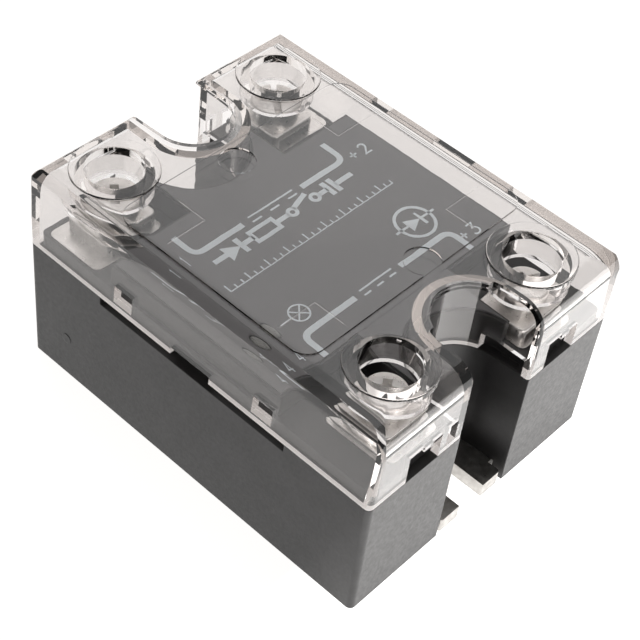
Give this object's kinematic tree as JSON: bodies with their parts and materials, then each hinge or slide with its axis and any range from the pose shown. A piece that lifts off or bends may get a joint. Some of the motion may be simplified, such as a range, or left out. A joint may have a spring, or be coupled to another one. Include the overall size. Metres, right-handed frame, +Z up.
{
  "type": "solid state relay",
  "caption": "Panel-mount solid state relay with four screw terminals, a metal base plate with a hole and an open slot, and a clear lift-off safety cover.",
  "frame": {"origin": "centre of the underside of the footprint", "axes": "+X along the length towards the control (input) end with the open slot, +Y across, +Z up away from the heat sink"},
  "size_m": [0.0584, 0.0457, 0.0318],
  "materials": {
    "black_plastic": "finely textured black moulding",
    "clear_plastic": "clear, glossy, very slightly warm",
    "label_film": "satin grey printed film",
    "led_lens": "unlit diffused lens",
    "base_aluminium": "milled, sheared edges",
    "plated_metal": "bright nickel plating",
    "brass": "turned",
    "copper": "bare copper",
    "epoxy": "cast, slightly wavy",
    "alumina": "matt white",
    "silicon": "polished die",
    "board": "green solder mask",
    "component_black": "moulded package",
    "component_blue": "dipped coat",
    "component_yellow": "dipped box"
  },
  "bodies": {
    "root": {"base_plate": "base_aluminium", "housing": "black_plastic", "label": "label_film", "status_led": "led_lens", "potting_compound": "epoxy", "ceramic_substrate": "alumina", "substrate_copper": "copper", "power_chip_1": "silicon", "power_chip_2": "silicon", "output_busbar_1": "copper", "output_busbar_2": "copper", "circuit_board": "board", "optocoupler": "component_black", "input_resistors": "component_blue", "snubber_capacitor": "component_yellow", "control_ic": "component_black", "input_lead_3": "copper", "input_lead_4": "copper", "terminal_plate_1": "plated_metal", "terminal_nut_1": "brass", "terminal_plate_2": "plated_metal", "terminal_nut_2": "brass", "terminal_plate_3": "plated_metal", "terminal_nut_3": "brass", "terminal_plate_4": "plated_metal", "terminal_nut_4": "brass"},
    "cover": {"clear_cover": "clear_plastic"},
    "clamp_1": {"clamp_plate_1": "plated_metal", "lock_washer_1": "plated_metal"},
    "screw_1": {"terminal_screw_1": "plated_metal"},
    "clamp_2": {"clamp_plate_2": "plated_metal", "lock_washer_2": "plated_metal"},
    "screw_2": {"terminal_screw_2": "plated_metal"},
    "clamp_3": {"clamp_plate_3": "plated_metal", "lock_washer_3": "plated_metal"},
    "screw_3": {"terminal_screw_3": "plated_metal"},
    "clamp_4": {"clamp_plate_4": "plated_metal", "lock_washer_4": "plated_metal"},
    "screw_4": {"terminal_screw_4": "plated_metal"}
  },
  "joints": [
    {"name": "cover_lift", "type": "slide", "parent": "root", "child": "cover", "axis": [0, 0, 1], "range_m": [0, 0.03]},
    {"name": "clamp_1_lift", "type": "slide", "parent": "root", "child": "clamp_1", "axis": [0, 0, 1], "range_m": [0, 0.002]},
    {"name": "screw_1_turn", "type": "hinge", "parent": "clamp_1", "child": "screw_1", "pos_m": [-0.0225, -0.0145, 0.0248], "axis": [0, 0, 1], "range_deg": [0, 1029.6]},
    {"name": "clamp_2_lift", "type": "slide", "parent": "root", "child": "clamp_2", "axis": [0, 0, 1], "range_m": [0, 0.002]},
    {"name": "screw_2_turn", "type": "hinge", "parent": "clamp_2", "child": "screw_2", "pos_m": [-0.0225, 0.0145, 0.0248], "axis": [0, 0, 1], "range_deg": [0, 1029.6]},
    {"name": "clamp_3_lift", "type": "slide", "parent": "root", "child": "clamp_3", "axis": [0, 0, 1], "range_m": [0, 0.002]},
    {"name": "screw_3_turn", "type": "hinge", "parent": "clamp_3", "child": "screw_3", "pos_m": [0.0219, 0.013, 0.0248], "axis": [0, 0, 1], "range_deg": [0, 1441]},
    {"name": "clamp_4_lift", "type": "slide", "parent": "root", "child": "clamp_4", "axis": [0, 0, 1], "range_m": [0, 0.002]},
    {"name": "screw_4_turn", "type": "hinge", "parent": "clamp_4", "child": "screw_4", "pos_m": [0.0219, -0.013, 0.0248], "axis": [0, 0, 1], "range_deg": [0, 1441]}
  ],
  "couplings": [
    {"joint": "screw_1_turn", "follows": "clamp_1_lift", "rad_per_m": 8976},
    {"joint": "screw_2_turn", "follows": "clamp_2_lift", "rad_per_m": 8976},
    {"joint": "screw_3_turn", "follows": "clamp_3_lift", "rad_per_m": 12566},
    {"joint": "screw_4_turn", "follows": "clamp_4_lift", "rad_per_m": 12566}
  ]
}
